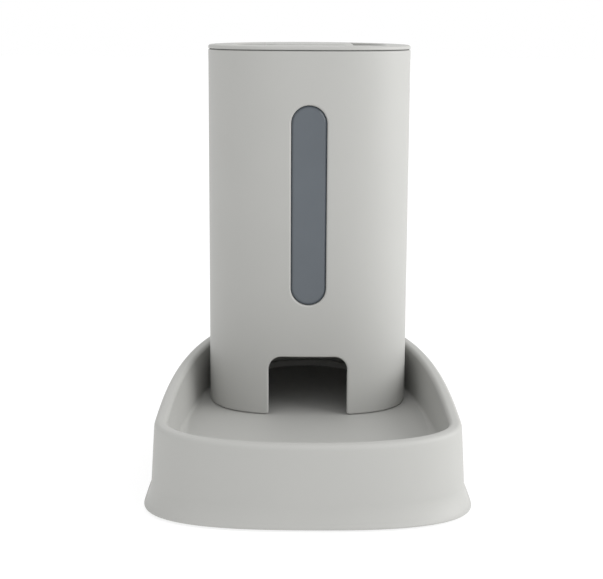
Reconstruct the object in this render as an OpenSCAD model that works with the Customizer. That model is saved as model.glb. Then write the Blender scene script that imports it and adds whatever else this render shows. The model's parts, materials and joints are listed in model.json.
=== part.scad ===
// Gravity pet feeder: a food barrel with a lift-off lid, standing in a
// wide feeding tray. Millimetres, +Z up, front of the tray towards -Y.
// The origin is the middle of the footprint, on the floor.

/* [Barrel] */
// Width of the barrel at its top edge
barrel_w = 150; // [140:1:156]
// Depth from the widest section to the front face, at the top edge
barrel_front = 55.4; // [50:0.2:58]
// Depth from the widest section to the back, at the top edge
barrel_back = 79.5; // [74:0.5:82]
// Growth of the outline from the top edge down to the foot
barrel_flare = 1.02; // [1.005:0.005:1.025]
// Height of the top edge above the floor
barrel_top = 299; // [290:0.5:305]
// Wall thickness
barrel_wall = 2.5; // [2:0.1:3]

/* [Outlet and ramp] */
// Width of the food outlet
outlet_w = 59; // [50:1:64]
// Height of the food outlet above the tray floor
outlet_h = 46; // [40:1:52]
// Corner radius of the food outlet
outlet_r = 10; // [6:1:14]
// Slope of the food ramp from level
ramp_slope = 40; // [36:1:44]
// Height of the ramp's lower lip above the tray floor
ramp_lip_h = 56; // [52:1:64]
// Thickness of the ramp
ramp_t = 2.5; // [2:0.1:3]

/* [Window] */
// Width of the window opening
window_w = 26; // [22:1:28]
// Height of the window opening
window_h = 146; // [120:1:150]
// Height of the window's middle above the floor
window_z = 188; // [182:1:194]
// Depth of the lens face behind the barrel face
lens_recess = 0.9; // [0.6:0.1:1.2]

/* [Lid] */
// Thickness of the lid at its edge
lid_edge = 2.6; // [2.2:0.1:3.2]
// Height of the shadow gap between the barrel and the lid
lid_gap = 0.5; // [0.5:0.1:1.2]
// Depth of the finger recess below the lid's face
dish_depth = 10; // [8:0.5:12]
// Width of the finger recess
dish_w = 114; // [104:1:118]
// Width of the grip across the recess
grip_w = 66; // [58:1:72]
// Height of the liner that plugs into the barrel
liner_h = 15; // [13:0.5:18]

/* [Tray] */
// Width of the tray over its rim
rim_w = 206; // [202:1:210]
// Width of the tray over its flared foot
foot_w = 221.6; // [216:0.2:226]
// Height of the rim at the front
rim_z_front = 57; // [54:1:60]
// Rise of the rim from front to back
rim_rise = 13; // [8:1:16]
// Width of the folded rim
rim_t = 8.7; // [8:0.1:9.5]
// Height of the tray floor above the ground
floor_z = 30.2; // [28:0.2:32]
// Wall thickness of the tray
tray_wall = 2.6; // [2.2:0.1:3]
// Height of the flared foot
flare_h = 18; // [14:1:20]
// Amount that the rubber feet stand below the skirt
foot_proud = 1.2; // [1:0.1:1.6]

/* [Hidden] */

shell_grey = [0.73, 0.73, 0.71];
liner_grey = [0.80, 0.80, 0.79];
seal_grey = [0.55, 0.56, 0.57];
lens_blue = [0.46, 0.50, 0.55, 0.6];
rubber_grey = [0.30, 0.31, 0.32];
steel = [0.75, 0.76, 0.78];

steps = 60;      // points round an outline
fit = 0.3;       // clearance between parts that lift apart
far = 400;       // longer than any cut

// Outlines are [half width, front depth, front squareness, back depth, back squareness].
barrel_outline = [barrel_w / 2, barrel_front, 2.76, barrel_back, 1.85];
rim_outline = [rim_w / 2, 46.5, 2.3, 243.7, 2.62];
foot_outline = [foot_w / 2, 51, 2.7, 247.7, 2.4];

tray_y = -98.35;           // widest line of the tray
barrel_y = tray_y + 147.6; // widest line of the barrel
barrel_foot = floor_z + fit;
barrel_h = barrel_top - barrel_foot;
lid_under = barrel_top + lid_gap - fit;
lid_face = barrel_top + lid_gap + lid_edge;
front_tilt = atan(barrel_front * (barrel_flare - 1) / barrel_h);
rim_slope = rim_rise / (rim_outline[1] + rim_outline[3]);
rim_front_y = tray_y - rim_outline[1];

seat_depth = 3.8;    // window seat, behind the barrel face
gasket_t = 0.8;      // window gasket
flange_t = 1.6;      // lens flange
clamp_t = 2.4;       // window clamp
flange_margin = 4;   // lens flange beyond the opening
ledge_w = 7;         // ledge under the ramp
boss_r = 3.6;        // screw bosses
pilot_r = 1.1;       // pilot bores
shank_r = 1.0;       // screw shanks
head_r = 2.3;        // screw heads
foot_r = 9;          // rubber feet
plate_t = 2.2;       // base plate

clamp_spots = [for (z = [-60, 0, 60], x = [-1, 1]) [x * 21.2, z]];
ramp_spots = [[-67, 16], [67, 16], [-51, 66], [51, 66]];
lid_spots = [[-55, -28], [55, -28], [-64, 2], [64, 2], [0, -44]];
grip_spots = [[-22, 12], [22, 12]];
base_spots = [[-84, -84], [84, -84], [-76, 20], [76, 20], [0, -126], [0, 124]];
rib_ends = [[0, 4], [4, 1], [0, 2], [1, 3], [2, 5], [3, 5], [0, 1], [2, 3], [0, 3], [1, 2]];
foot_spots = [[-78, -110], [78, -110], [-52, 92], [52, 92]];

// One coordinate of a superellipse, from a sine or a cosine
function lobe(c, n) = sign(c) * pow(abs(c), 2 / n);

// An outline as points, grown outwards by grow
function outline(o, grow = 0, k = 1) = [for (i = [0 : steps - 1])
    let (t = 360 * i / steps, front = sin(t) < 0)
    [k * (o[0] + grow) * lobe(cos(t), front ? o[2] : o[4]),
     k * ((front ? o[1] : o[3]) + grow) * lobe(sin(t), front ? o[2] : o[4])]];

function mix(a, b, t) = a + (b - a) * t;

// Height of the sloping rim plane
function rim_z(y) = rim_z_front + rim_slope * (y - rim_front_y);

// One ring of the tray: t runs from the rim's outline to the foot's, and on_rim
// measures z from the sloping rim plane
function tray_ring(t, grow, z, on_rim = false) =
    [for (p = outline(mix(rim_outline, foot_outline, t), grow))
        [p[0], p[1] + tray_y, on_rim ? rim_z(p[1] + tray_y) + z : z]];

// Share of the way from rim to foot, below the top of the flare
function flare(z) = mix(0.35, 1, pow(max(0, flare_h - z) / (flare_h - foot_proud), 2));

// The finger recess follows the lid's back edge and has a straight front edge
function dish_point(t, d) =
    let (c = cos(t), s = sin(t), back = barrel_outline,
        to_edge = pow(pow(abs(c) / (back[0] - 8.5 - d), back[4])
            + pow(abs(s) / (back[3] - 8.5 - d), back[4]), -1 / back[4]),
        to_side = (dish_w / 2 - d) / max(abs(c), 0.001),
        to_front = (20 - d) / max(-s, 0.001),
        r = pow(pow(to_edge, -12) + pow(to_side, -12) + pow(to_front, -12), -1 / 12))
    [r * c, r * s];

// Closed solid through a stack of rings with equal numbers of points
module loft(rings) {
    n = len(rings[0]);
    last = len(rings) - 1;
    polyhedron(
        points = [for (ring = rings) each ring],
        faces = concat(
            [[for (i = [0 : n - 1]) i]],
            [for (k = [0 : last - 1], i = [0 : n - 1])
                [k * n + i, (k + 1) * n + i, (k + 1) * n + (i + 1) % n, k * n + (i + 1) % n]],
            [[for (i = [n - 1 : -1 : 0]) last * n + i]]));
}

module barrel_2d(grow = 0) {
    polygon(outline(barrel_outline, grow));
}

module dish_2d(d = 0) {
    polygon([for (i = [0 : steps - 1]) dish_point(360 * i / steps, d)]);
}

// Slot shape with round ends, long side upright
module capsule_2d(w, h) {
    square([w, h - w], center = true);
    for (s = [-1, 1]) translate([0, s * (h - w) / 2]) circle(d = w, $fn = 64);
}

// Rectangle with round corners
module round_2d(w, h, r) {
    square([w - 2 * r, h], center = true);
    square([w, h - 2 * r], center = true);
    for (x = [-1, 1], y = [-1, 1])
        translate([x * (w / 2 - r), y * (h / 2 - r)]) circle(r = r, $fn = 48);
}

// Moves to the lid, x and y from the barrel's axis
module on_lid(z) {
    translate([0, barrel_y, z]) children();
}

// Tapered block in the shape of the barrel, longer by over at both ends
module barrel_block(grow = 0, over = 0) {
    more = (barrel_flare - 1) * over / barrel_h;
    translate([0, barrel_y, barrel_foot - over])
        linear_extrude(height = barrel_h + 2 * over, scale = (1 - more) / (barrel_flare + more))
            polygon(outline(barrel_outline, grow, barrel_flare + more));
}

// Moves to the window: x across, y up the front face, z into the barrel
module on_front() {
    k = mix(barrel_flare, 1, (window_z - barrel_foot) / barrel_h);
    translate([0, barrel_y - barrel_front * k, window_z])
        rotate([90 - front_tilt, 0, 0]) mirror([0, 0, 1]) children();
}

// Moves to the ramp's top face: x across, y up the slope from the lower lip
module on_ramp() {
    translate([0, barrel_y - 6, floor_z + ramp_lip_h]) rotate([ramp_slope, 0, 0]) children();
}

// A countersunk screw with its head's face at z = 0, pointing down
module flat_screw(length) {
    translate([0, 0, -1.4]) cylinder(r1 = shank_r, r2 = head_r, h = 1.4, $fn = 32);
    translate([0, 0, -length]) cylinder(r = shank_r, h = length - 1.4, $fn = 32);
}

// A pan-head screw with the face under its head at z = 0, pointing up
module pan_screw(length) {
    cylinder(r = shank_r, h = length, $fn = 32);
    difference() {
        translate([0, 0, -1.6]) cylinder(r = head_r, h = 1.6, $fn = 32);
        for (a = [0, 90]) rotate([0, 0, a])
            translate([-1.4, -0.3, -1.7]) cube([2.8, 0.6, 0.9]);
    }
}

/* Lid */

module lid_cover() color(shell_grey) {
    floor_t = 2;
    difference() {
        union() {
            on_lid(lid_face - lid_edge) linear_extrude(lid_edge) barrel_2d();
            on_lid(lid_face - dish_depth - floor_t)
                linear_extrude(dish_depth + floor_t - lid_edge) dish_2d(-floor_t);
            on_lid(lid_face - lid_edge - 6) for (p = lid_spots)
                translate(p) cylinder(r = boss_r, h = 6, $fn = 40);
        }
        on_lid(lid_face - dish_depth) linear_extrude(far) dish_2d();
        on_lid(lid_face - lid_edge - 7) for (p = lid_spots)
            translate(p) cylinder(r = pilot_r, h = 7, $fn = 32);
        on_lid(lid_face - far / 2) for (p = grip_spots)
            translate(p) cylinder(r = pilot_r, h = far / 2, $fn = 32);
    }
}

module lid_grip() color(shell_grey) {
    proud = 0.6;
    difference() {
        on_lid(lid_face - dish_depth) translate([0, 17])
            linear_extrude(dish_depth + proud) round_2d(grip_w, 62, 9);
        on_lid(lid_face - dish_depth - 1) for (p = grip_spots)
            translate(p) cylinder(r = pilot_r, h = 8, $fn = 32);
    }
}

module lid_liner() color(liner_grey) {
    wall = 2;
    gap = barrel_wall + 1.6;
    flange_t = 1.8;
    z = lid_face - lid_edge - liner_h;
    difference() {
        union() {
            on_lid(z) linear_extrude(liner_h) difference() {
                barrel_2d(-gap);
                barrel_2d(-gap - wall);
            }
            on_lid(lid_face - lid_edge - 6 - flange_t) intersection() {
                linear_extrude(flange_t) barrel_2d(-gap - wall / 2);
                for (p = lid_spots) translate(p) hull() {
                    cylinder(r = 5, h = flange_t, $fn = 32);
                    translate([p[0] * 0.35, p[1] * 0.35]) cylinder(r = 6, h = flange_t, $fn = 32);
                }
            }
        }
        on_lid(z - 1) for (p = lid_spots) translate(p) cylinder(r = pilot_r, h = liner_h, $fn = 32);
    }
}

module lid_seal() color(seal_grey) {
    gap = barrel_wall + 1.6;
    on_lid(lid_under - 0.6) linear_extrude(lid_face - lid_edge - lid_under + 0.6) difference() {
        barrel_2d(-barrel_wall - fit);
        barrel_2d(-gap);
    }
    for (drop = [5, 8.5]) on_lid(lid_under - drop) linear_extrude(1) difference() {
        barrel_2d(-barrel_wall - fit);
        barrel_2d(-gap);
    }
    on_lid(lid_under - 9) linear_extrude(9) difference() {
        barrel_2d(-gap + 0.8);
        barrel_2d(-gap);
    }
}

module lid_screws() color(steel) {
    on_lid(lid_face - lid_edge - 7.8) for (p = lid_spots) translate(p) pan_screw(7);
}

module grip_screws() color(steel) {
    on_lid(lid_face - dish_depth - 2) for (p = grip_spots) translate(p) pan_screw(8);
}

/* Barrel */

module outlet_cut() {
    translate([0, barrel_y - 10, barrel_foot - 1]) rotate([90, 0, 0])
        linear_extrude(far) {
            translate([0, outlet_h / 2 - outlet_r / 2])
                square([outlet_w, outlet_h - outlet_r + 1], center = true);
            translate([0, outlet_h / 2]) square([outlet_w - 2 * outlet_r, outlet_h], center = true);
            for (s = [-1, 1]) translate([s * (outlet_w / 2 - outlet_r), outlet_h - outlet_r])
                circle(r = outlet_r, $fn = 64);
        }
}

// Ledge round the wall that carries the ramp
module ramp_ledge() {
    intersection() {
        on_ramp() translate([-far / 2, 4, -2 * ramp_t]) cube([far, far, ramp_t]);
        difference() {
            barrel_block(-barrel_wall / 2);
            barrel_block(-barrel_wall - ledge_w);
        }
    }
}

module barrel_shell() color(shell_grey) difference() {
    union() {
        difference() {
            barrel_block();
            barrel_block(-barrel_wall, 1);
        }
        ramp_ledge();
        on_ramp() for (p = ramp_spots)
            translate([p[0], p[1], -ramp_t - 8]) cylinder(r = boss_r, h = 8, $fn = 40);
        on_front() translate([0, 0, 1.2]) linear_extrude(seat_depth - 1.2)
            capsule_2d(window_w + 2 * flange_margin + 2, window_h + 2 * flange_margin + 2);
        on_front() for (p = clamp_spots) translate([p[0], p[1], 1.4])
            cylinder(r = boss_r, h = seat_depth + gasket_t + flange_t - 1.4, $fn = 40);
    }
    on_front() translate([0, 0, -5]) linear_extrude(20) capsule_2d(window_w, window_h);
    on_front() for (p = clamp_spots) translate([p[0], p[1], 1.8])
        cylinder(r = pilot_r, h = 10, $fn = 32);
    on_ramp() for (p = ramp_spots) translate([p[0], p[1], -ramp_t - 7])
        cylinder(r = pilot_r, h = 8, $fn = 32);
    outlet_cut();
}

module window_lens() color(lens_blue) {
    gap = 0.25;
    on_front() translate([0, 0, lens_recess])
        linear_extrude(seat_depth + gasket_t - lens_recess)
            capsule_2d(window_w - 2 * gap, window_h - 2 * gap);
    on_front() translate([0, 0, seat_depth + gasket_t]) linear_extrude(flange_t)
        capsule_2d(window_w + 2 * flange_margin, window_h + 2 * flange_margin);
}

module window_gasket() color(seal_grey) {
    on_front() translate([0, 0, seat_depth]) linear_extrude(gasket_t) difference() {
        capsule_2d(window_w + 2 * flange_margin, window_h + 2 * flange_margin);
        capsule_2d(window_w + 1, window_h + 1);
    }
}

module window_clamp() color(liner_grey) {
    z = seat_depth + gasket_t + flange_t;
    on_front() translate([0, 0, z]) linear_extrude(clamp_t) difference() {
        union() {
            capsule_2d(window_w + 2 * flange_margin, window_h + 2 * flange_margin);
            for (p = clamp_spots) translate([p[0] - sign(p[0]) * 3, p[1]])
                round_2d(12, 2 * boss_r, 2.4);
        }
        capsule_2d(window_w - 1, window_h - 1);
        for (p = clamp_spots) translate(p) circle(r = pilot_r, $fn = 32);
    }
}

module clamp_screws() color(steel) {
    length = 6.6;
    z = seat_depth + gasket_t + flange_t + clamp_t;
    on_front() for (p = clamp_spots) translate([p[0], p[1], z]) mirror([0, 0, 1]) pan_screw(length);
}

module food_ramp() color(liner_grey) difference() {
    intersection() {
        barrel_block(-barrel_wall - fit);
        on_ramp() union() {
            translate([-far / 2, 0, -ramp_t]) cube([far, far, ramp_t]);
            translate([-far / 2, 0, -ramp_t]) rotate([-ramp_slope, 0, 0])
                translate([0, 0, -4]) cube([far, ramp_t, 4 + ramp_t / 2]);
        }
    }
    on_ramp() for (p = ramp_spots) translate([p[0], p[1], -1.4]) {
        cylinder(r1 = shank_r + 0.3, r2 = head_r + 0.3, h = 1.5, $fn = 32);
        translate([0, 0, -5]) cylinder(r = pilot_r, h = 6, $fn = 32);
    }
}

module ramp_screws() color(steel) {
    on_ramp() for (p = ramp_spots) translate([p[0], p[1], -0.1]) flat_screw(8.5);
}

/* Tray */

// Outer form of the tray, shrunk all round by inset
module tray_block(inset = 0) {
    skirt = [for (s = [0 : 0.25 : 1]) mix(foot_proud, flare_h, s)];
    loft(concat(
        [for (z = skirt) tray_ring(flare(z), -inset, z)],
        [tray_ring(0.03, -inset, -3 - inset, true)],
        inset > 0 ? [] : [tray_ring(0.01, -0.9, -0.9, true), tray_ring(0, -3, 0, true)]));
}

// The bowl, from the floor to above the rim, grown all round by grow
module tray_bowl(grow = 0) {
    draft = 2.2;
    fillet = 2.4;
    z = floor_z - grow;
    corner = [for (a = [0 : 30 : 90]) [fillet * (1 - sin(a)), fillet * (1 - cos(a))]];
    mouth = grow > 0 ? [[0, -3], [0, 20]] : [[0, -3], [-0.9, -0.9], [-3, 0], [-3, 20]];
    loft(concat(
        [for (c = corner) tray_ring(0, grow - rim_t - draft - c[0], z + c[1])],
        [for (m = mouth) tray_ring(0, grow - rim_t - m[0], m[1], true)]));
}

// Low wall on the floor that keeps the barrel's foot in place
module locating_wall() {
    intersection() {
        translate([0, barrel_y, floor_z - 1]) linear_extrude(6) difference() {
            polygon(outline(barrel_outline, -barrel_wall - 1, barrel_flare));
            polygon(outline(barrel_outline, -barrel_wall - 3.5, barrel_flare));
        }
        translate([-far / 2, barrel_y - 12, 0]) cube(far);
    }
}

// Stiffening ribs under the floor, from screw boss to screw boss
module floor_ribs() {
    rib_t = 2.4;
    rib_h = 10;
    for (e = rib_ends) hull() for (i = e)
        translate([base_spots[i][0], base_spots[i][1], floor_z - 1 - rib_h])
            cylinder(d = rib_t, h = rib_h, $fn = 16);
}

module tray_shell() color(shell_grey) difference() {
    union() {
        difference() {
            tray_block();
            difference() {
                union() {
                    tray_block(tray_wall);
                    translate([0, 0, -plate_t]) linear_extrude(foot_proud + 2 * plate_t)
                        translate([0, tray_y]) polygon(outline(foot_outline, -tray_wall - 1));
                }
                tray_bowl(tray_wall);
            }
        }
        for (p = base_spots) translate([p[0], p[1], foot_proud + plate_t])
            cylinder(r = boss_r + 0.6, h = floor_z - foot_proud - plate_t - 1, $fn = 40);
        floor_ribs();
        locating_wall();
    }
    tray_bowl_cut();
    for (p = base_spots) translate([p[0], p[1], foot_proud])
        cylinder(r = pilot_r, h = 16, $fn = 32);
}

// The bowl as cut from the shell, clear of the locating wall
module tray_bowl_cut() {
    difference() {
        tray_bowl();
        locating_wall();
    }
}

module base_plate() color(liner_grey) difference() {
    translate([0, tray_y, foot_proud]) linear_extrude(plate_t)
        polygon(outline(foot_outline, -tray_wall - 1 - fit));
    for (p = base_spots) translate([p[0], p[1], 0]) {
        cylinder(r = pilot_r, h = 9, $fn = 32);
        cylinder(r = head_r + 0.2, h = foot_proud + plate_t - 1, $fn = 32);
    }
    for (p = foot_spots) translate([p[0], p[1], 0])
        cylinder(r = foot_r + 0.1, h = foot_proud + plate_t - 1, $fn = 64);
}

module base_screws() color(steel) {
    for (p = base_spots) translate([p[0], p[1], foot_proud + plate_t - 1]) pan_screw(12);
}

// A rubber foot, seated in a recess of the base plate
module foot(p) color(rubber_grey) translate([p[0], p[1], 0])
    rotate_extrude($fn = 64) polygon([
        [0, 0], [foot_r - 0.8, 0], [foot_r, 0.8],
        [foot_r, foot_proud + plate_t - 1], [0, foot_proud + plate_t - 1]]);

lid_cover();
lid_grip();
lid_liner();
lid_seal();
lid_screws();
grip_screws();
barrel_shell();
window_lens();
window_gasket();
window_clamp();
clamp_screws();
food_ramp();
ramp_screws();
tray_shell();
base_plate();
base_screws();
foot(foot_spots[0]);  // foot_front_left
foot(foot_spots[1]);  // foot_front_right
foot(foot_spots[2]);  // foot_back_left
foot(foot_spots[3]);  // foot_back_right
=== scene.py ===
"""Gravity pet feeder: a food barrel with a lift-off lid, standing in a wide feeding tray.

Laid out as an add-on. Each operator makes one piece, or one group of like pieces, on the
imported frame, and main() runs them in order.
"""
import json
import math

import bmesh
import bpy
import numpy as np
from mathutils import Matrix, Vector
from mathutils.geometry import delaunay_2d_cdt


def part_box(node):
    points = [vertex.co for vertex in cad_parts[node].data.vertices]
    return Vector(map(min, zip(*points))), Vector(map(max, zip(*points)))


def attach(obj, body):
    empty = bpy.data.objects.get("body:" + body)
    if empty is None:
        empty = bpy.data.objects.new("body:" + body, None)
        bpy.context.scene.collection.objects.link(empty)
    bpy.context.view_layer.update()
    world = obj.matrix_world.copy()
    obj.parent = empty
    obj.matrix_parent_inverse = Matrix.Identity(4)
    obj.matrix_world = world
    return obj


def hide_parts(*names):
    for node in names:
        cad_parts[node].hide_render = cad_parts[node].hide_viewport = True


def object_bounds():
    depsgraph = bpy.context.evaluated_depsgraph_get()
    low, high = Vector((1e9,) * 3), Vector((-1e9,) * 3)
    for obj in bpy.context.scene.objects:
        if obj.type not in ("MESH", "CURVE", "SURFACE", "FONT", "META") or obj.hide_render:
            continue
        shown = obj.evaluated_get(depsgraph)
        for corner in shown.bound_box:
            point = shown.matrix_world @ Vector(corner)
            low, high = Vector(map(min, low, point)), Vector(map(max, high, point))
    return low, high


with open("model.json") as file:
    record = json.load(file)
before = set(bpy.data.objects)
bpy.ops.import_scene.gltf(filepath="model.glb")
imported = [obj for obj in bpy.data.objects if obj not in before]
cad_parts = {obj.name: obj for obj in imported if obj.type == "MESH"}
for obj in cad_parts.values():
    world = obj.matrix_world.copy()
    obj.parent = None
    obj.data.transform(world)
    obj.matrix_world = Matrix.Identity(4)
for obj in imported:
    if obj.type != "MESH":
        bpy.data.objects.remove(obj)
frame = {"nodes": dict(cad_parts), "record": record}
cad_low, cad_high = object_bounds()

bl_info = {
    "name": "Gravity Pet Feeder",
    "version": (1, 0, 0),
    "blender": (4, 5, 0),
    "location": "View3D > Sidebar > Feeder",
    "description": "Builds a gravity pet feeder from its parts",
    "category": "Add Mesh",
}

MM = 0.001
HOLD = 0.5 * MM   # loop beside each rounded edge, which keeps the flat next to it flat
WELD = 0.002 * MM


# ---------------------------------------------------------------- settings

def srgb(value):
    """Linear colour from an sRGB hex value."""
    parts = [int(value[i:i + 2], 16) / 255 for i in (1, 3, 5)]
    linear = [c / 12.92 if c <= 0.04045 else ((c + 0.055) / 1.055) ** 2.4 for c in parts]
    return (*linear, 1.0)


def length(name, description, mm):
    """A size given in millimetres and kept in metres."""
    return bpy.props.FloatProperty(name=name, description=description, default=mm * MM, min=0.0,
                                   precision=4, subtype="DISTANCE", unit="LENGTH")


def angle(name, description, degrees):
    """An angle given in degrees and kept in radians."""
    return bpy.props.FloatProperty(name=name, description=description,
                                   default=math.radians(degrees), min=0.0, subtype="ANGLE",
                                   unit="ROTATION")


def ratio(name, description, default):
    """A plain number."""
    return bpy.props.FloatProperty(name=name, description=description, default=default, min=0.0,
                                   precision=3)


def colour(name, description, value):
    """A colour given as an sRGB hex value and kept as a linear one."""
    return bpy.props.FloatVectorProperty(name=name, description=description, default=srgb(value),
                                         size=4, min=0.0, max=1.0, subtype="COLOR")


class FeederBarrelSettings(bpy.types.PropertyGroup):
    """Shape of the barrel, its window, its outlet and its ramp"""
    front_depth: length("Front depth", "Depth in front of the widest line", 55.4)
    front_square: ratio("Front squareness", "How square the front of the outline is", 2.76)
    back_square: ratio("Back squareness", "How square the back of the outline is", 1.85)
    flare: ratio("Flare", "Size of the foot against the top", 1.02)
    wall: length("Wall", "Wall thickness", 2.5)
    edge: length("Edge radius", "Rounding of the rim, the foot and the openings", 1.2)
    window_width: length("Window width", "Width of the window opening", 26)
    window_height: length("Window height", "Height of the window opening", 146)
    window_middle: length("Window middle", "Height of the window's middle above the ground", 188)
    lens_recess: length("Lens recess", "Depth of the lens behind the barrel's face", 0.9)
    lens_bevel: length("Lens bevel", "Width of the bevel round the lens", 1.9)
    seat: length("Window seat", "Depth of the window seat behind the barrel's face", 3.8)
    outlet_width: length("Outlet width", "Width of the food outlet", 59)
    outlet_height: length("Outlet height", "Height of the outlet above the barrel's foot", 45)
    outlet_corner: length("Outlet corner", "Corner radius at the top of the outlet", 10)
    outlet_heel: length("Outlet heel", "Corner radius where the outlet meets the foot", 2.2)
    ramp_start: length("Ramp start", "Distance of the ramp's lip in front of the widest line", 6)
    ramp_height: length("Ramp height", "Height of the ramp's lip above the ground", 86.2)
    ramp_thickness: length("Ramp thickness", "Thickness of the ramp and of its ledge", 2.5)
    ramp_slope: angle("Ramp slope", "Slope of the food ramp", 40)
    ledge: length("Ledge width", "Width of the ledge under the ramp", 7)
    boss: length("Boss radius", "Radius of the screw bosses", 3.6)


class FeederLidSettings(bpy.types.PropertyGroup):
    """Shape of the lid, its recess and its grip, and the liner that the seal sits on"""
    plate: length("Plate", "Thickness of the lid at its edge", 2.6)
    edge: length("Edge radius", "Rounding of the lid's upper edge", 1.5)
    recess_width: length("Recess width", "Width of the finger recess", 114)
    recess_front: length("Recess front", "Distance of its front edge from the widest line", 20)
    recess_margin: length("Recess margin", "Distance from the lid's edge at the back", 8.5)
    recess_depth: length("Recess depth", "Depth of the finger recess", 10)
    recess_lip: length("Recess lip", "Rounding of the recess's edge", 1.3)
    grip_corner: length("Grip corner", "Corner radius of the grip seen from above", 9)
    grip_edge: length("Grip edge", "Rounding of the grip's upper edge", 2)
    liner_gap: length("Liner gap", "Distance of the liner from the lid's edge", 4.1)


class FeederTraySettings(bpy.types.PropertyGroup):
    """Shape of the tray"""
    rim_width: length("Rim width", "Width over the rim", 206)
    rim_front: length("Rim front", "Depth of the rim in front of the widest line", 46.5)
    rim_back: length("Rim back", "Depth of the rim behind the widest line", 243.7)
    rim_height: length("Rim height", "Height of the rim at the front", 57)
    rim_rise: length("Rim rise", "Rise of the rim from front to back", 13)
    rim_fold: length("Rim fold", "Width of the folded rim", 8.7)
    rim_round: length("Rim rounding", "Rounding of the rim's edges", 3.2)
    widest: length("Widest line", "Distance of the widest line in front of the origin", 98.35)
    floor: length("Floor height", "Height of the feeding floor", 30.2)
    wall: length("Wall", "Wall thickness", 2.6)
    flare: length("Flare height", "Height of the flared foot", 18)
    draft: length("Draft", "Lean of the inner wall from rim to floor", 2.2)
    fillet_front: length("Front fillet", "Radius between floor and wall at the front", 9)
    fillet_back: length("Back fillet", "Radius between floor and wall round the barrel", 2.3)
    locator: length("Locating wall", "Height of the wall that holds the barrel in place", 5)


class FeederFinishSettings(bpy.types.PropertyGroup):
    """Colours and grain of the finishes"""
    shell: colour("Shells", "Warm light grey of the moulded shells", "#A9A9A6")
    inner: colour("Inner parts", "Pale grey of the inner mouldings", "#C8C8C5")
    # Lens colour: smoke grey plus painted shade, darkened to the tone of the shaded, empty barrel
    # seen through the window.
    lens: colour("Lens", "Smoke grey of the window", "#646B72")
    seal: colour("Seals", "Grey of the soft seals", "#8F9090")
    foot: colour("Feet", "Dark grey of the rubber feet", "#3E3F40")
    steel: colour("Screws", "Zinc plated steel", "#B9BBBE")
    floor: colour("Studio floor", "White of the studio floor", "#FDFDFD")
    grain: length("Grain", "Size of the moulded grain", 0.9)


# ---------------------------------------------------------------- outlines

def lobe(value, square):
    """Signed power that bends a sine or a cosine into a superellipse."""
    return np.sign(value) * np.abs(value) ** (2.0 / square)


def two_halves(shape, grow, turn):
    """Outline of two half superellipses, its half widths and depths grown by grow."""
    half_width, front, front_square, back, back_square = shape
    cos, sin = np.cos(turn), np.sin(turn)
    ahead = sin < 0
    square = np.where(ahead, front_square, back_square)
    depth = np.where(ahead, front, back)
    return np.column_stack([(half_width + grow) * lobe(cos, square),
                            (depth + grow) * lobe(sin, square)])


def run_length(line):
    """Distance along a line of points, from its first point."""
    steps = np.linalg.norm(np.diff(line[:, :2], axis=0), axis=1)
    return np.concatenate([[0], np.cumsum(steps)])


def along(points, count, closed=True):
    """The same line with count points at even spacing. Columns after x and y are carried along."""
    line = np.vstack([points, points[:1]]) if closed else points
    run = run_length(line)
    want = np.linspace(0, run[-1], count, endpoint=not closed)
    return np.column_stack([np.interp(want, run, column) for column in line.T])


def side_of(points, closed=True):
    """Unit normals on the left of a line."""
    ahead = np.roll(points, -1, 0) - np.roll(points, 1, 0)
    if not closed:
        ahead[0], ahead[-1] = points[1] - points[0], points[-1] - points[-2]
    normal = np.column_stack([-ahead[:, 1], ahead[:, 0]])
    return normal / np.linalg.norm(normal, axis=1)[:, None]


def arc(centre, radius, start, end, count):
    """Points on an arc, with its angles in degrees."""
    turn = np.radians(np.linspace(start, end, count))
    return np.column_stack([centre[0] + radius * np.cos(turn), centre[1] + radius * np.sin(turn)])


def capsule(width, height, spacing=1.0):
    """Upright slot with round ends, counterclockwise from its right side."""
    radius, straight = width / 2, (height - width) / 2
    rows = max(2, int(2 * straight / spacing) + 1)
    climb = np.linspace(-straight, straight, rows)
    return np.vstack([
        np.column_stack([np.full(rows, radius), climb]),
        arc((0, straight), radius, 0, 180, 33)[1:-1],
        np.column_stack([np.full(rows, -radius), climb[::-1]]),
        arc((0, -straight), radius, 180, 360, 33)[1:-1],
    ])


def rounded(width, height, corner, steps=10):
    """Rectangle with round corners, counterclockwise from its right side."""
    x, y = width / 2 - corner, height / 2 - corner
    return np.vstack([arc((x, y), corner, 0, 90, steps), arc((-x, y), corner, 90, 180, steps),
                      arc((-x, -y), corner, 180, 270, steps),
                      arc((x, -y), corner, 270, 360, steps)])


def round_over(radius, steps=6):
    """Quarter round as (inset, drop) pairs, from the upright side up to the flat top."""
    turns = np.radians(np.linspace(0, 90, steps))
    return [(radius * (1 - math.cos(a)), radius * (1 - math.sin(a))) for a in turns]


def inside(point, polygon):
    """True where the point lies inside the polygon."""
    x, y = point
    x0, y0 = polygon[:, 0], polygon[:, 1]
    x1, y1 = np.roll(x0, -1), np.roll(y0, -1)
    crosses = (y0 > y) != (y1 > y)
    rise = np.where(crosses, y1 - y0, 1.0)
    return bool(np.count_nonzero(crosses & (x < x0 + (y - y0) * (x1 - x0) / rise)) % 2)


def level(points, height):
    """A flat outline lifted to one height, or to a height for each point."""
    return np.column_stack([points, np.broadcast_to(height, len(points))])


# ---------------------------------------------------------------- mesh work

def add_ring(mesh, points):
    """Vertices of one ring."""
    return [mesh.verts.new(p) for p in points]


def skin(mesh, rings, closed=True):
    """Quads between neighbouring rings of equal length."""
    for lower, upper in zip(rings, rings[1:]):
        count = len(lower)
        for i in range(count if closed else count - 1):
            j = (i + 1) % count
            mesh.faces.new((lower[i], lower[j], upper[j], upper[i]))


def loft(mesh, rings, caps=True):
    """Skin through a stack of rings, closed by a face at each end or joined end to end."""
    made = [add_ring(mesh, ring) for ring in rings]
    if caps:
        mesh.faces.new(made[0][::-1])
        mesh.faces.new(made[-1])
    else:
        made.append(made[0])
    skin(mesh, made)


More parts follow.
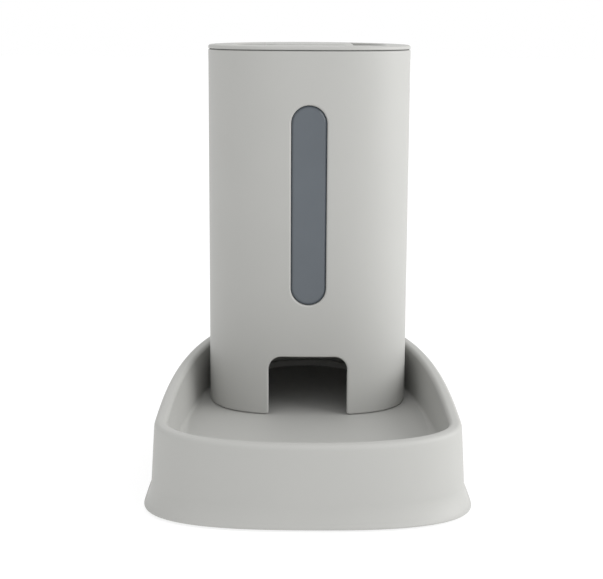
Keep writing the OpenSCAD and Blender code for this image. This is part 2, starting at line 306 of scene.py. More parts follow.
def bar(mesh, rings):
    """Skin round an open run: each ring is one edge of the bar, and both ends are closed."""
    made = [add_ring(mesh, ring) for ring in rings]
    skin(mesh, made + made[:1], closed=False)
    for end in (0, -1):
        mesh.faces.new([ring[end] for ring in made])


def post(mesh, place, radius, height, bore=0.3, sides=36):
    """Screw boss with its mouth at the origin of a placing matrix, growing along its z axis."""
    soft = 0.3 * MM
    profile = [(bore * radius, 0.8 * height), (bore * radius, 0), (radius - soft, 0), (radius, soft),
               (radius, height)]
    turns = np.linspace(0, 2 * math.pi, sides, endpoint=False)
    loft(mesh, [[place @ Vector((r * math.cos(a), r * math.sin(a), z)) for a in turns]
                for r, z in profile])


def finish_piece(mesh, name, slot, body, *nodes):
    """Turns mesh data into a piece that stands for CAD nodes, in its slot's finish, on a body."""
    bmesh.ops.remove_doubles(mesh, verts=mesh.verts, dist=WELD)
    bmesh.ops.recalc_face_normals(mesh, faces=mesh.faces)
    data = bpy.data.meshes.new(name)
    mesh.to_mesh(data)
    mesh.free()
    data.polygons.foreach_set("use_smooth", [True] * len(data.polygons))
    data.set_sharp_from_angle(angle=math.radians(50))
    data.materials.append(finish_of(slot))
    piece = bpy.data.objects.new(name, data)
    bpy.context.scene.collection.objects.link(piece)
    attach(piece, body)
    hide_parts(*nodes)
    return piece


# ---------------------------------------------------------------- finishes

def add_node(material, kind, settings=None, links=None):
    """Adds a node, sets its properties or inputs, and links inputs from other nodes' outputs."""
    tree = material.node_tree
    node = tree.nodes.new(kind)
    for key, value in (settings or {}).items():
        if isinstance(key, str) and hasattr(node, key):
            setattr(node, key, value)
        else:
            node.inputs[key].default_value = value
    for key, source in (links or {}).items():
        tree.links.new(source, node.inputs[key])
    return node


def new_material(name):
    """Empty material, with the place of each surface point on the object in metres."""
    material = bpy.data.materials.new(name)
    material.use_nodes = True
    material.node_tree.nodes.clear()
    return material, add_node(material, "ShaderNodeTexCoord").outputs["Object"]


def two_tones(material, base, spread, factor):
    """Colour that drifts between a darker and a lighter shade of base."""
    ramp = add_node(material, "ShaderNodeValToRGB", links={"Fac": factor})
    for stop, share in zip(ramp.color_ramp.elements, (1 - spread, 1 + spread)):
        stop.color = tuple(min(1.0, c * share) for c in base[:3]) + (1.0,)
    ramp.color_ramp.elements[0].position = 0.3
    ramp.color_ramp.elements[1].position = 0.7
    return ramp.outputs["Color"]


def moulded(name, base, roughness, grain, relief, ior, drift=0.012):
    """Moulded plastic or rubber: an even colour with a slight cloudiness from the melt, and the
    mould's eroded grain, which breaks every highlight into a soft sheen."""
    material, place = new_material(name)
    cloud = add_node(material, "ShaderNodeTexNoise", {"Scale": 1 / (60 * MM), "Detail": 3.0},
                     {"Vector": place})
    pits = add_node(material, "ShaderNodeTexNoise",
                    {"Scale": 1 / grain, "Detail": 4.0, "Roughness": 0.6}, {"Vector": place})
    gloss = add_node(material, "ShaderNodeMapRange",
                     {"To Min": roughness - 0.06, "To Max": roughness + 0.06},
                     {"Value": pits.outputs["Fac"]})
    bump = add_node(material, "ShaderNodeBump", {"Strength": 0.4, "Distance": relief},
                    {"Height": pits.outputs["Fac"]})
    shader = add_node(material, "ShaderNodeBsdfPrincipled", {"IOR": ior},
                      {"Base Color": two_tones(material, base, drift, cloud.outputs["Fac"]),
                       "Roughness": gloss.outputs["Result"], "Normal": bump.outputs["Normal"]})
    add_node(material, "ShaderNodeOutputMaterial", links={"Surface": shader.outputs["BSDF"]})
    return material


def shell_plastic(f):
    """ABS shells from a finely eroded mould: matt, with a wide soft sheen."""
    return moulded("moulded ABS, fine eroded grain", f.shell, 0.55, f.grain, 0.03 * MM, 1.53)


def inner_plastic(f):
    """Polypropylene inner parts from a plainer mould: paler and a little waxier than the shells."""
    return moulded("moulded polypropylene", f.inner, 0.42, 1.6 * f.grain, 0.015 * MM, 1.49)


def seal_rubber(f):
    """Silicone seal: soft and dull."""
    return moulded("moulded silicone rubber", f.seal, 0.65, f.grain, 0.02 * MM, 1.43)


def foot_rubber(f):
    """Thermoplastic rubber feet: dark and dull, with a coarse grain for grip."""
    return moulded("moulded thermoplastic rubber", f.foot, 0.8, 0.8 * f.grain, 0.06 * MM, 1.5, 0.05)


def window_clear(f):
    """Moulded acrylic with a smoke tint: glossy, and dark where the barrel is dark behind it; its
    colour is partly painted shade, the smoke tint darkened to the tone of the shaded, empty barrel
    seen through it.
    """
    material, place = new_material("moulded smoke acrylic with painted shade")
    flow = add_node(material, "ShaderNodeTexNoise", {"Scale": 1 / (35 * MM), "Detail": 2.0},
                    {"Vector": place})
    gloss = add_node(material, "ShaderNodeMapRange", {"To Min": 0.12, "To Max": 0.2},
                     {"Value": flow.outputs["Fac"]})
    # Base colour: the smoke tint plus painted shade of the dark barrel behind the lens.
    shader = add_node(material, "ShaderNodeBsdfPrincipled",
                      {"IOR": 1.49, "Transmission Weight": 0.3},
                      {"Base Color": two_tones(material, f.lens, 0.04, flow.outputs["Fac"]),
                       "Roughness": gloss.outputs["Result"]})
    add_node(material, "ShaderNodeOutputMaterial", links={"Surface": shader.outputs["BSDF"]})
    return material


def screw_steel(f):
    """Zinc plated steel screws: bright, with a fine crystalline break-up from the plating bath."""
    material, place = new_material("zinc plated steel")
    crystals = add_node(material, "ShaderNodeTexNoise", {"Scale": 1 / (0.6 * MM), "Detail": 3.0},
                        {"Vector": place})
    gloss = add_node(material, "ShaderNodeMapRange", {"To Min": 0.24, "To Max": 0.42},
                     {"Value": crystals.outputs["Fac"]})
    bump = add_node(material, "ShaderNodeBump", {"Strength": 0.3, "Distance": 0.02 * MM},
                    {"Height": crystals.outputs["Fac"]})
    shader = add_node(material, "ShaderNodeBsdfPrincipled", {"Metallic": 1.0},
                      {"Base Color": two_tones(material, f.steel, 0.05, crystals.outputs["Fac"]),
                       "Roughness": gloss.outputs["Result"], "Normal": bump.outputs["Normal"]})
    add_node(material, "ShaderNodeOutputMaterial", links={"Surface": shader.outputs["BSDF"]})
    return material


def opal_board(f):
    """Opal acrylic sheet of a light table: lit from below, so shadows on it stay faint."""
    material, place = new_material("opal acrylic lit from below")
    haze = add_node(material, "ShaderNodeTexNoise", {"Scale": 1 / (4 * MM), "Detail": 2.0},
                    {"Vector": place})
    lit, painted = 0.75, 0.3
    glow = [channel * lit for channel in f.floor[:3]] + [1.0]
    shader = add_node(material, "ShaderNodeBsdfPrincipled",
                      {"Roughness": 0.9, "Emission Color": glow, "Emission Strength": 1.0},
                      {"Base Color": two_tones(material, [c * painted for c in f.floor], 0.004,
                                               haze.outputs["Fac"])})
    add_node(material, "ShaderNodeOutputMaterial", links={"Surface": shader.outputs["BSDF"]})
    return material


FINISHES = {"shell_plastic": shell_plastic, "inner_plastic": inner_plastic,
            "window_clear": window_clear, "seal_rubber": seal_rubber, "foot_rubber": foot_rubber,
            "screw_steel": screw_steel, "studio_floor": opal_board}
made_finishes = {}


def finish_of(slot):
    """The material of a slot, made the first time it is asked for."""
    if slot not in made_finishes:
        made_finishes[slot] = FINISHES[slot](bpy.context.scene.feeder_finish)
    return made_finishes[slot]


# ---------------------------------------------------------------- surfaces

class Barrel:
    """The barrel's surface: where a point round it, or across its front, lies in space."""

    def __init__(self):
        s = bpy.context.scene.feeder_barrel
        low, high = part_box("barrel_shell")
        lid_low, lid_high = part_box("lid_cover")
        self.settings = s
        self.foot, self.top = low.z, high.z
        self.axis_y = lid_low.y + s.front_depth
        self.shape = (lid_high.x, s.front_depth, s.front_square, lid_high.y - self.axis_y,
                      s.back_square)
        turns = np.radians(np.linspace(-90, 270, 2880, endpoint=False))
        self.line = along(two_halves(self.shape, 0, turns), 2880)
        self.normal = -side_of(self.line)
        self.clamp_spots = [(x * MM, y * MM) for y in (-60, 0, 60) for x in (-21.2, 21.2)]
        self.ramp_spots = [(x * MM, y * MM) for x, y in ((-67, 16), (67, 16), (-51, 66), (51, 66))]

    def growth(self, z):
        """Size of the outline at a height, against its size at the top."""
        share = (np.asarray(z, float) - self.foot) / (self.top - self.foot)
        return self.settings.flare + (1 - self.settings.flare) * share

    def place(self, line, normal, z, depth):
        """Points at height z on the outline, depth behind the face."""
        size = np.broadcast_to(self.growth(z), len(line))[:, None]
        flat = line * size - normal * np.broadcast_to(depth, len(line))[:, None]
        return level(flat + (0, self.axis_y), z)

    def front(self, across):
        """Outline points and normals of the front face, at distances across it."""
        ahead = self.line[:, 1] < 0
        order = np.argsort(self.line[ahead, 0])
        x = self.line[ahead, 0][order]
        y, normal_x, normal_y = (np.interp(across, x, column[ahead][order]) for column in
                                 (self.line[:, 1], self.normal[:, 0], self.normal[:, 1]))
        return np.column_stack([across, y]), np.column_stack([normal_x, normal_y])

    def window_place(self):
        """Frame on the front face at the window: x across, y up the face, z into the barrel."""
        s = self.settings
        tilt = math.atan(s.front_depth * (s.flare - 1) / (self.top - self.foot))
        up = Vector((0, math.sin(tilt), math.cos(tilt)))
        inward = Vector((0, math.cos(tilt), -math.sin(tilt)))
        face = self.axis_y - s.front_depth * float(self.growth(s.window_middle))
        turned = Matrix((Vector((1, 0, 0)), up, inward)).transposed().to_4x4()
        return Matrix.Translation((0, face, s.window_middle)) @ turned

    def ramp_place(self):
        """Frame on the ramp's top face: x across, y up the slope from the lower lip."""
        s = self.settings
        lip = Vector((0, self.axis_y - s.ramp_start, s.ramp_height))
        return Matrix.Translation(lip) @ Matrix.Rotation(s.ramp_slope, 4, "X")

    def slot_ring(self, grow, depth, spacing=1.0):
        """Ring of the window opening, grown all round, at a depth behind the face."""
        s = self.settings
        place = self.window_place()
        line = capsule(s.window_width + 2 * grow, s.window_height + 2 * grow, spacing)
        return [place @ Vector((x, y, depth)) for x, y in line]


class Lid:
    """The lid's outlines, as distances from the barrel's axis at even turns."""

    def __init__(self, count=288):
        self.settings = bpy.context.scene.feeder_lid
        self.barrel = Barrel()
        self.low, self.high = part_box("lid_cover")
        turns = np.linspace(0, 2 * math.pi, count, endpoint=False)
        self.cos, self.sin = np.cos(turns), np.sin(turns)
        self.screws = [(x * MM, y * MM)
                       for x, y in ((-55, -28), (55, -28), (-64, 2), (64, 2), (0, -44))]

    def ring(self, distance, z):
        flat = np.column_stack([self.cos * distance, self.sin * distance + self.barrel.axis_y])
        return level(flat, z)

    def reach(self, inset, front=True):
        """Distance to the lid's edge, or to its back half's curve all the way round."""
        half, ahead, ahead_square, behind, behind_square = self.barrel.shape
        use = (self.sin < 0) & front
        depth = np.where(use, ahead, behind) - inset
        square = np.where(use, ahead_square, behind_square)
        return (np.abs(self.cos / (half - inset)) ** square
                + np.abs(self.sin / depth) ** square) ** (-1 / square)

    def recess_reach(self, inset):
        """Distance to the finger recess, straight in front and along the lid's edge at the back."""
        s = self.settings
        tiny, blend = 0.001, 12
        to_edge = self.reach(s.recess_margin + inset, front=False)
        to_side = (s.recess_width / 2 - inset) / np.maximum(np.abs(self.cos), tiny)
        to_front = (s.recess_front - inset) / np.maximum(-self.sin, tiny)
        return (to_edge ** -blend + to_side ** -blend + to_front ** -blend) ** (-1 / blend)

    def edge(self, inset, z):
        """Ring along the lid's edge."""
        return self.ring(self.reach(inset), z)

    def recess(self, inset, z):
        """Ring along the finger recess."""
        return self.ring(self.recess_reach(inset), z)

    def between(self, share, edge_inset, recess_inset, z):
        """Ring on the way from the lid's edge to the recess."""
        return self.ring((1 - share) * self.reach(edge_inset)
                         + share * self.recess_reach(recess_inset), z)


class Tray:
    """The tray's outlines: from the rim, down the draft, to the flared foot."""

    def __init__(self, count=288):
        s = bpy.context.scene.feeder_tray
        low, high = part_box("tray_shell")
        self.settings = s
        self.skirt = low.z
        self.rim = (s.rim_width / 2, s.rim_front, 2.3, s.rim_back, 2.62)
        self.foot = (high.x, -s.widest - low.y, 2.7, high.y + s.widest, 2.4)
        turns = np.radians(np.linspace(-90, 270, 8 * count + 1))
        run = run_length(two_halves(self.rim, 0, turns))
        self.turns = np.interp(np.linspace(0, run[-1], count, endpoint=False), run, turns)

    def outline(self, share, grow):
        """Outline share of the way from rim to foot."""
        shape = [a + (b - a) * share for a, b in zip(self.rim, self.foot)]
        return two_halves(shape, grow, self.turns) - (0, self.settings.widest)

    def rim_level(self, y):
        """Height of the sloping rim plane."""
        s = self.settings
        slope = s.rim_rise / (s.rim_front + s.rim_back)
        return s.rim_height + slope * (y + s.widest + s.rim_front)

    def under_rim(self, share, grow, drop):
        """Ring that follows the rim plane, drop below it."""
        points = self.outline(share, grow)
        return level(points, self.rim_level(points[:, 1]) - drop)

    def at(self, share, grow, height):
        """Ring at a height above the ground."""
        return level(self.outline(share, grow), height)

    def flare(self, height):
        """Share of the way from rim to foot at a height in the flare."""
        down = max(0.0, self.settings.flare - height) / (self.settings.flare - self.skirt)
        return 0.35 + 0.65 * down ** 2


# ---------------------------------------------------------------- barrel

def lip_profile(barrel):
    """(distance from the edge, depth) round a wall's rounded edge, from outside to inside."""
    radius, wall = barrel.settings.edge, barrel.settings.wall
    outside = [(radius + HOLD, 0.0)] + [(drop, inset) for inset, drop in round_over(radius)]
    return outside + [(distance, wall - depth) for distance, depth in outside[::-1]]


def outlet_line(barrel, half_panel):
    """Lower edge of the front panel from left to right, up and over the outlet."""
    s = barrel.settings
    half, top, foot = s.outlet_width / 2, s.outlet_height + barrel.foot, barrel.foot
    corner, heel = s.outlet_corner, s.outlet_heel
    sole = np.linspace(-half_panel, -half - heel, 4)
    jamb = np.linspace(foot + heel, top - corner, 12)
    lintel = np.linspace(-half + corner, half - corner, 14)
    left = np.vstack([
        level(sole[:, None], foot),
        arc((-half - heel, foot + heel), heel, -90, 0, 8)[1:-1],
        np.column_stack([np.full(len(jamb), -half), jamb]),
        arc((-half + corner, top - corner), corner, 180, 90, 14)[1:-1],
    ])
    line = np.vstack([left, level(lintel[:, None], top), left[::-1] * (-1, 1)])
    inner = slice(1, -1)
    line[inner, 0] /= barrel.growth(line[inner, 1])
    return line


def front_panel(mesh, barrel, half_panel, across, rows, profile):
    """Front of the barrel, with the window and the outlet cut through it."""
    s = barrel.settings
    window = capsule(s.window_width, s.window_height, 3 * MM)
    window[:, 1] += s.window_middle
    window[:, 0] /= barrel.growth(window[:, 1])
    sole = outlet_line(barrel, half_panel)
    edges = [(window, -side_of(window), True), (sole, side_of(sole, False), False)]
    window_start, sole_start = (line + side * profile[0][0] for line, side, _ in edges)
    border = np.vstack([
        sole_start,
        [(half_panel, z) for z in rows[1:]],
        [(x, rows[-1]) for x in across[::-1][1:]],
        [(-half_panel, z) for z in rows[::-1][1:-1]],
    ])
    near = np.vstack([window_start, sole_start])
    grid = [(x, z) for z in rows[1:-1] for x in across[1:-1]
            if inside((x, z), border) and not inside((x, z), window_start)
            and np.min(np.hypot(*(near - (x, z)).T)) > 1.5 * MM]
    points = [Vector(p) for p in np.vstack([border, window_start, grid])]
    loops = [range(len(border)), range(len(border), len(border) + len(window))]
    fixed = [(a, b) for loop in loops for a, b in zip(loop, [*loop[1:], loop[0]])]
    flat, _, faces, *_ = delaunay_2d_cdt(points, fixed, [], 0, 1e-9)
    flat = np.array([tuple(p) for p in flat])
    middles = [flat[list(face)].mean(axis=0) for face in faces]
    kept = [face for face, middle in zip(faces, middles)
            if inside(middle, border) and not inside(middle, window_start)]
    for depth in (0.0, s.wall):
        line, normal = barrel.front(flat[:, 0])
        verts = add_ring(mesh, barrel.place(line, normal, flat[:, 1], depth))
        for face in kept:
            mesh.faces.new([verts[i] for i in face])
    for edge, side, closed in edges:
        rings = []
        for distance, depth in profile:
            moved = edge + side * distance
            line, normal = barrel.front(moved[:, 0])
            rings.append(add_ring(mesh, barrel.place(line, normal, moved[:, 1], depth)))
        skin(mesh, rings, closed)


def barrel_wall(mesh, barrel):
    """The wall of the barrel, inside and out, with rounded edges."""
    half_panel = 42 * MM
    profile = lip_profile(barrel)
    start = profile[0][0]
    rows = np.linspace(barrel.foot + start, barrel.top - start, 48)
    across = np.linspace(-half_panel, half_panel, 25)
    front_panel(mesh, barrel, half_panel, across, rows, profile)
    line, normal = barrel.line, barrel.normal
    apart = [np.where(line[:, 1] < 0, np.abs(line[:, 0] - x), 1)
             for x in (half_panel, -half_panel)]
    way = slice(int(np.argmin(apart[0])) + 1, int(np.argmin(apart[1])))
    ends = np.hstack(barrel.front(np.array([half_panel, -half_panel])))
    side = along(np.vstack([ends[:1], np.hstack([line[way], normal[way]]), ends[1:]]), 130, False)
    side, side_normal = side[:, :2], side[:, 2:]
    side_normal /= np.linalg.norm(side_normal, axis=1)[:, None]
    for depth in (0.0, barrel.settings.wall):
        skin(mesh, [add_ring(mesh, barrel.place(side, side_normal, z, depth))
                    for z in rows], False)
    skin(mesh, [add_ring(mesh, barrel.place(side, side_normal, barrel.foot + distance, depth))
                for distance, depth in profile], False)
    front_line, front_normal = barrel.front(across)
    rim = np.vstack([front_line, side[1:-1]])
    rim_normal = np.vstack([front_normal, side_normal[1:-1]])
    skin(mesh, [add_ring(mesh, barrel.place(rim, rim_normal, barrel.top - distance, depth))
                for distance, depth in profile])
    bmesh.ops.remove_doubles(mesh, verts=mesh.verts, dist=WELD)


def window_seat(mesh, barrel):
    """Raised pad inside the wall that the window is clamped to, with its screw bosses."""
    s = barrel.settings
    soft, width, root = 0.3 * MM, 5 * MM, s.wall - 0.5 * MM
    loft(mesh, [barrel.slot_ring(grow, depth) for grow, depth in (
        (0, root), (0, s.seat - soft), (soft, s.seat), (width - soft, s.seat),
        (width, s.seat - soft), (width, root))], caps=False)
    gasket_and_flange = 2.4 * MM
    mouth = s.seat + gasket_and_flange
    for x, y in barrel.clamp_spots:
        spot = barrel.window_place() @ Matrix.Translation((x, y, mouth))
        post(mesh, spot @ Matrix.Rotation(math.pi, 4, "X"), s.boss, mouth - 1.8 * MM)


def ramp_ledge(mesh, barrel):
    """Ledge round the back of the wall that carries the ramp, with its screw bosses."""
    s = barrel.settings
    under = barrel.ramp_place() @ Matrix.Rotation(math.pi, 4, "X")
    lower = 4 * MM * math.cos(s.ramp_slope) - s.ramp_start
    rise = math.tan(s.ramp_slope)
    thick = s.ramp_thickness / math.cos(s.ramp_slope)
    behind = barrel.line[:, 1] > lower
    run = along(np.hstack([barrel.line[behind], barrel.normal[behind]]), 100, False)
    rings = []
    for inset, drop in ((1.2 * MM, thick), (s.ledge, thick), (s.ledge, 2 * thick),
                        (1.2 * MM, 2 * thick)):
        flat = run[:, :2] * float(barrel.growth(0.12)) - run[:, 2:] * inset
        rings.append(level(flat + (0, barrel.axis_y),
                           s.ramp_height + (flat[:, 1] + s.ramp_start) * rise - drop))
    bar(mesh, rings)
    for x, y in barrel.ramp_spots:
        post(mesh, under @ Matrix.Translation((x, -y, s.ramp_thickness)), s.boss, 8 * MM)


class FEEDER_OT_barrel(bpy.types.Operator):
    """Makes the barrel's shell with its window opening, outlet, ledge and bosses"""
    bl_idname = "feeder.barrel"
    bl_label = "Barrel Shell"

    def execute(self, context):
        barrel = Barrel()
        mesh = bmesh.new()
        barrel_wall(mesh, barrel)
        window_seat(mesh, barrel)
        ramp_ledge(mesh, barrel)
        finish_piece(mesh, "barrel", "shell_plastic", "barrel", "barrel_shell")
        return {"FINISHED"}


class FEEDER_OT_window(bpy.types.Operator):
    """Makes the window lens with its bevelled face and its flange"""
    bl_idname = "feeder.window"
    bl_label = "Window"

    def execute(self, context):
        barrel = Barrel()
        s = barrel.settings
        gap, soft, margin = 0.25 * MM, 0.2 * MM, 4 * MM
        face, bevel = s.lens_recess, s.lens_bevel
        front, back = s.seat + 0.8 * MM, s.seat + 2.4 * MM
        steps = [(-bevel - 1.5 * MM, face), (-bevel - soft, face), (-bevel, face + 0.03 * MM),
                 (-bevel + soft, face + 0.12 * MM), (-gap - soft, face + 1.0 * MM),
                 (-gap, face + 1.2 * MM), (-gap, front), (margin - soft, front),
                 (margin, front + soft), (margin, back - soft), (margin - soft, back),
                 (-2 * MM, back), (-9 * MM, back)]
        mesh = bmesh.new()
        loft(mesh, [barrel.slot_ring(grow, depth) for grow, depth in steps])
        finish_piece(mesh, "window", "window_clear", "barrel", "window_lens")
        return {"FINISHED"}


# ---------------------------------------------------------------- lid

def lid_rings(lid):
    """The lid's skin, from the middle of its underside, round its edge, into the recess."""
    s = lid.settings
    top = lid.high.z
    under, base, floor = top - s.plate, lid.low.z, top - s.recess_depth
    cup, soft, fillet = 2 * MM, 0.5 * MM, 3 * MM
    lip, edge = s.recess_lip, s.edge
    rings = [lid.recess(d * MM, base) for d in (19, 12, 6, 1)]
    rings += [lid.recess(inset - cup, base + drop) for inset, drop in round_over(1.5 * MM)[::-1]]
    rings += [lid.recess(-cup, under - HOLD), lid.recess(-cup - HOLD, under)]
    rings += [lid.between(share, soft + HOLD, -cup - HOLD, under) for share in (0.5, 0)]
    rings += [lid.edge(inset, under + drop) for inset, drop in round_over(soft, 3)[::-1]]
    rings += [lid.edge(inset, top - drop) for inset, drop in round_over(edge, 7)]
    rings += [lid.between(share, edge + HOLD, -lip - HOLD, top) for share in (0, 0.33, 0.66, 1)]
    rings += [lid.recess(-inset, top - drop) for drop, inset in round_over(lip)]
    rings += [lid.recess(0, top - lip - HOLD), lid.recess(0, floor + fillet + HOLD)]
    rings += [lid.recess(inset, floor + drop) for inset, drop in round_over(fillet)]
    rings += [lid.recess(fillet + d * MM, floor) for d in (0.5, 6, 12, 16)]
    return rings


class FEEDER_OT_lid(bpy.types.Operator):
    """Makes the lid's cover with its finger recess and screw bosses"""
    bl_idname = "feeder.lid"
    bl_label = "Lid Cover"

    def execute(self, context):
        lid = Lid()
        mesh = bmesh.new()
        loft(mesh, lid_rings(lid))
        boss = 6 * MM
        mouth = lid.high.z - lid.settings.plate - boss
        for x, y in lid.screws:
            spot = Matrix.Translation((x, lid.barrel.axis_y + y, mouth))
            post(mesh, spot, lid.barrel.settings.boss, boss + HOLD)
        finish_piece(mesh, "lid", "shell_plastic", "lid", "lid_cover")
        return {"FINISHED"}


class FEEDER_OT_grip(bpy.types.Operator):
    """Makes the grip that stands in the middle of the recess"""
    bl_idname = "feeder.grip"
    bl_label = "Lid Grip"

    def execute(self, context):
        s = context.scene.feeder_lid
        low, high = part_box("lid_grip")
        middle = (low + high) / 2
        line = along(rounded(high.x - low.x, high.y - low.y, s.grip_corner), 200)
        normal = -side_of(line)
        soft, edge = 0.4 * MM, s.grip_edge
        steps = [(18 * MM, low.z), (soft + HOLD, low.z), (soft, low.z), (0, low.z + soft),
                 (0, low.z + soft + HOLD), (0, high.z - edge - HOLD)]
        steps += [(inset, high.z - drop) for inset, drop in round_over(edge, 8)]
        steps += [(edge + HOLD, high.z), (8.5 * MM, high.z)]
        mesh = bmesh.new()
        loft(mesh, [level(line * (1 - inset / (high.x - low.x)) + middle.xy, z)
                    if inset > s.grip_corner else level(line - normal * inset + middle.xy, z)
                    for inset, z in steps])
        finish_piece(mesh, "grip", "shell_plastic", "lid", "lid_grip")
        return {"FINISHED"}


class FEEDER_OT_seal(bpy.types.Operator):
    """Makes the soft seal round the liner, with its flange and two wiping lips"""
    bl_idname = "feeder.seal"
    bl_label = "Lid Seal"

    def execute(self, context):
        lid = Lid()
        low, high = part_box("lid_seal")
        back, soft = lid.settings.liner_gap, 0.2 * MM
        sleeve, tip = back - 0.8 * MM, lid.barrel.settings.wall + 0.3 * MM
        under = high.z - 0.9 * MM
        profile = [(back, low.z), (sleeve, low.z)]
        for base in (low.z + 0.5 * MM, low.z + 4 * MM):
            profile += [(sleeve, base), (tip + soft, base + 0.1 * MM), (tip, base + 0.35 * MM),
                        (tip, base + 0.65 * MM), (tip + soft, base + 0.9 * MM), (sleeve, base + MM)]
        profile += [(sleeve, under), (tip + soft, under), (tip, under + soft),
                    (tip, high.z - soft), (tip + soft, high.z), (back, high.z)]
        mesh = bmesh.new()
        loft(mesh, [lid.edge(inset, z) for inset, z in profile], caps=False)
        finish_piece(mesh, "seal", "seal_rubber", "lid", "lid_seal")
        return {"FINISHED"}


# ---------------------------------------------------------------- tray

def tray_rings(tray):
    """The tray's skin, from its hidden underside, round the skirt and the rim, to the floor."""
    s = tray.settings
    ground, corner, hem = tray.skirt, s.rim_round, 1.2 * MM
    inner, recess = -s.wall - 1 * MM, 5 * MM
    rings = [tray.at(1, inner - d * MM, ground + recess) for d in (42, 20, 0.5)]
    rings += [tray.at(1, inner, ground + recess - HOLD), tray.at(1, inner, ground + HOLD),
              tray.at(1, inner + HOLD, ground), tray.at(1, -hem - 0.3 * MM, ground)]
    rings += [tray.at(1, -inset, ground + drop) for inset, drop in round_over(hem)[::-1]]
    rings += [tray.at(tray.flare(z), 0, z) for z in np.linspace(ground + hem, s.flare, 14)[1:]]
    flare_top, shoulder = rings[-1], tray.under_rim(0.03, 0, corner + HOLD)
    rings += [flare_top + (shoulder - flare_top) * share
              for share in (0.12, 0.3, 0.5, 0.7, 0.88, 1)]
    rings += [tray.under_rim(0.02, -inset, drop) for inset, drop in round_over(corner, 9)]
    rings += [tray.under_rim(0, -s.rim_fold / 2, 0)]
    rings += [tray.under_rim(0, inset - s.rim_fold, drop)
              for inset, drop in round_over(corner, 9)[::-1]]
    y = tray.outline(0, 0)[:, 1]
    share = np.clip((y + s.widest + s.rim_front - 60 * MM) / (90 * MM), 0, 1)
    share = share * share * (3 - 2 * share)
    fillet = s.fillet_front + (s.fillet_back - s.fillet_front) * share
    wall_top = tray.under_rim(0, -s.rim_fold, corner + HOLD)
    wall_foot = tray.at(0, -s.rim_fold - s.draft, s.floor + fillet + HOLD)
    rings += [wall_top + (wall_foot - wall_top) * share for share in (0, 0.3, 0.6, 1)]
    for turn in np.radians(np.linspace(0, 90, 9)):
        reach = -s.rim_fold - s.draft - fillet * (1 - math.cos(turn))
        rings.append(tray.at(0, reach, s.floor + fillet * (1 - math.sin(turn))))
    rings += [tray.at(0, -s.rim_fold - s.draft - fillet - d * MM, s.floor)
              for d in (0.5, 6, 14, 24)]
    return rings


def locating_wall(mesh, tray, barrel):
    """Low wall on the floor, inside the barrel's foot, that keeps the barrel in place."""
    s = barrel.settings
    keep = barrel.line[:, 1] * s.flare > -12 * MM
    run = along(np.hstack([barrel.line[keep] * s.flare, barrel.normal[keep]]), 120, False)
    floor, top = tray.settings.floor - HOLD, tray.settings.floor + tray.settings.locator
    outer, inner, soft = s.wall + 1 * MM, s.wall + 3.5 * MM, 0.7 * MM
    profile = [(outer, floor)] + [(outer + inset, top - drop) for inset, drop in round_over(soft)]
    profile += [(inner - inset, top - drop) for inset, drop in round_over(soft)[::-1]]
    profile += [(inner, floor)]
    bar(mesh, [level(run[:, :2] - run[:, 2:] * depth + (0, barrel.axis_y), z)
               for depth, z in profile])


class FEEDER_OT_tray(bpy.types.Operator):
    """Makes the feeding tray with its folded rim, flared foot and locating wall"""
    bl_idname = "feeder.tray"
    bl_label = "Tray Shell"

    def execute(self, context):
        tray = Tray()
        mesh = bmesh.new()
        loft(mesh, tray_rings(tray))
        locating_wall(mesh, tray, Barrel())
        finish_piece(mesh, "tray", "shell_plastic", "tray", "tray_shell")
        return {"FINISHED"}


class FEEDER_OT_feet(bpy.types.Operator):
    """Makes the four rubber feet, each with two grip grooves"""
    bl_idname = "feeder.feet"
    bl_label = "Rubber Feet"

    def execute(self, context):
        groove, flank, soft = 0.6 * MM, 0.3 * MM, 0.7 * MM
        turns = np.linspace(0, 2 * math.pi, 72, endpoint=False)
        for node in ("foot_front_left", "foot_front_right", "foot_back_left", "foot_back_right"):
            low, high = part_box(node)
            middle, radius = (low + high) / 2, (high.x - low.x) / 2
            profile = [(0.8 * MM, low.z)]
            for reach in (3.5 * MM, 6 * MM):
                profile += [(reach - 2 * flank, low.z), (reach - flank, low.z + groove),
                            (reach + flank, low.z + groove), (reach + 2 * flank, low.z)]
            profile += [(radius - inset, low.z + drop) for inset, drop in round_over(soft)[::-1]]
            profile += [(radius, high.z - flank), (radius - flank, high.z), (2 * MM, high.z)]
            mesh = bmesh.new()
            loft(mesh, [level(np.column_stack([np.cos(turns), np.sin(turns)]) * r + middle.xy, z)
                        for r, z in profile])
            finish_piece(mesh, node + "_pad", "foot_rubber", "tray", node)
        return {"FINISHED"}


# ---------------------------------------------------------------- carried-over parts

class FEEDER_OT_fixings(bpy.types.Operator):
    """Gives the parts that keep their own shape their finish"""
    bl_idname = "feeder.fixings"
    bl_label = "Inner Parts and Screws"

    def execute(self, context):
        slots = {part["node"]: part["material_slot"] for part in frame["record"]["subparts"]}
        for name, piece in frame["nodes"].items():
            piece.material_slots[0].material = finish_of(slots[name])
        return {"FINISHED"}


# ---------------------------------------------------------------- stage

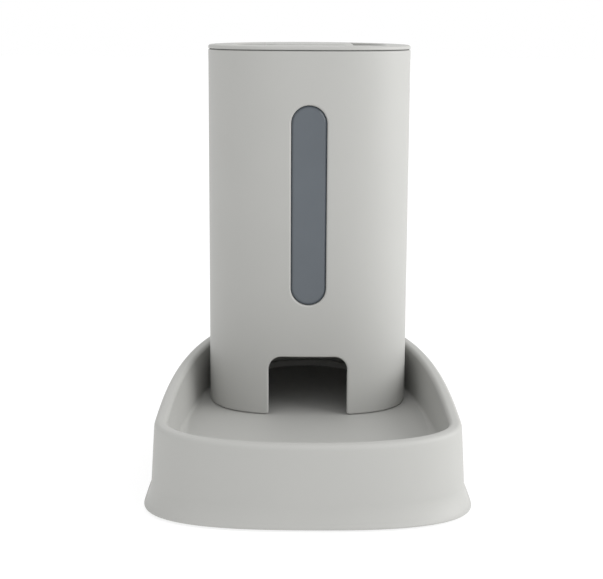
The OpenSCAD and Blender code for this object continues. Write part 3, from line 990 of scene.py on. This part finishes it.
class FEEDER_OT_stage(bpy.types.Operator):
    """Makes the light table, the soft studio light and the camera"""
    bl_idname = "feeder.stage"
    bl_label = "Stage"

    def execute(self, context):
        scene = context.scene
        scene.view_settings.view_transform = "Standard"
        mesh = bmesh.new()
        bmesh.ops.create_grid(mesh, x_segments=8, y_segments=8, size=8.0)
        data = bpy.data.meshes.new("studio_floor")
        mesh.to_mesh(data)
        mesh.free()
        data.materials.append(finish_of("studio_floor"))
        floor = bpy.data.objects.new("studio_floor", data)
        floor.location.z = cad_low.z
        scene.collection.objects.link(floor)
        world = bpy.data.worlds.new("white studio")
        world.use_nodes = True
        sky = world.node_tree.nodes["Background"]
        sky.inputs["Color"].default_value = (1.0, 1.0, 1.0, 1.0)
        sky.inputs["Strength"].default_value = 1.0
        scene.world = world
        aim = Vector((0, 0, 0.16))
        self.add_light("key", aim + Vector((1.6, -0.45, 0.75)), aim, 1.6, 24.0)
        self.add_camera(scene)
        return {"FINISHED"}

    def add_light(self, name, place, aim, size, power):
        """Round soft box that points at aim."""
        data = bpy.data.lights.new(name, "AREA")
        data.shape, data.size, data.energy = "DISK", size, power
        light = bpy.data.objects.new(name, data)
        light.location = place
        light.rotation_euler = (aim - place).to_track_quat("-Z", "Y").to_euler()
        bpy.context.scene.collection.objects.link(light)

    def add_camera(self, scene):
        """Camera before the feeder, looking down at it a little."""
        data = bpy.data.cameras.new("camera")
        data.sensor_width, data.lens = 36.0, 71.6
        data.clip_start, data.clip_end = 0.05, 60.0
        camera = bpy.data.objects.new("camera", data)
        camera.location = (-4.47 * MM, -864.1 * MM, 325.3 * MM)
        down, roll, pan = math.pi / 2 - 0.227, 0.005, 0.00057
        turn = (Matrix.Rotation(pan, 3, "Z") @ Matrix.Rotation(down, 3, "X")
                @ Matrix.Rotation(roll, 3, "Z"))
        camera.rotation_euler = turn.to_euler()
        scene.collection.objects.link(camera)
        scene.camera = camera


# ---------------------------------------------------------------- add-on

SETTINGS = {
    "feeder_barrel": FeederBarrelSettings,
    "feeder_lid": FeederLidSettings,
    "feeder_tray": FeederTraySettings,
    "feeder_finish": FeederFinishSettings,
}
OPERATORS = (
    FEEDER_OT_stage,
    FEEDER_OT_fixings,
    FEEDER_OT_tray,
    FEEDER_OT_feet,
    FEEDER_OT_barrel,
    FEEDER_OT_window,
    FEEDER_OT_lid,
    FEEDER_OT_grip,
    FEEDER_OT_seal,
)


class FEEDER_PT_sidebar(bpy.types.Panel):
    """Lists the feeder's pieces and their sizes"""
    bl_idname = "FEEDER_PT_sidebar"
    bl_label = "Gravity Pet Feeder"
    bl_space_type = "VIEW_3D"
    bl_region_type = "UI"
    bl_category = "Feeder"

    def draw(self, context):
        for operator in OPERATORS:
            self.layout.operator(operator.bl_idname)
        for name, settings in SETTINGS.items():
            box = self.layout.box()
            for key in settings.__annotations__:
                box.prop(getattr(context.scene, name), key)


CLASSES = (*SETTINGS.values(), *OPERATORS, FEEDER_PT_sidebar)


def register():
    for item in CLASSES:
        bpy.utils.register_class(item)
    for name, settings in SETTINGS.items():
        setattr(bpy.types.Scene, name, bpy.props.PointerProperty(type=settings))


def unregister():
    for name in SETTINGS:
        delattr(bpy.types.Scene, name)
    for item in reversed(CLASSES):
        bpy.utils.unregister_class(item)


def main():
    """Builds the feeder."""
    register()
    for operator in OPERATORS:
        group, name = operator.bl_idname.split(".")
        getattr(getattr(bpy.ops, group), name)()


if __name__ == "__main__":
    main()
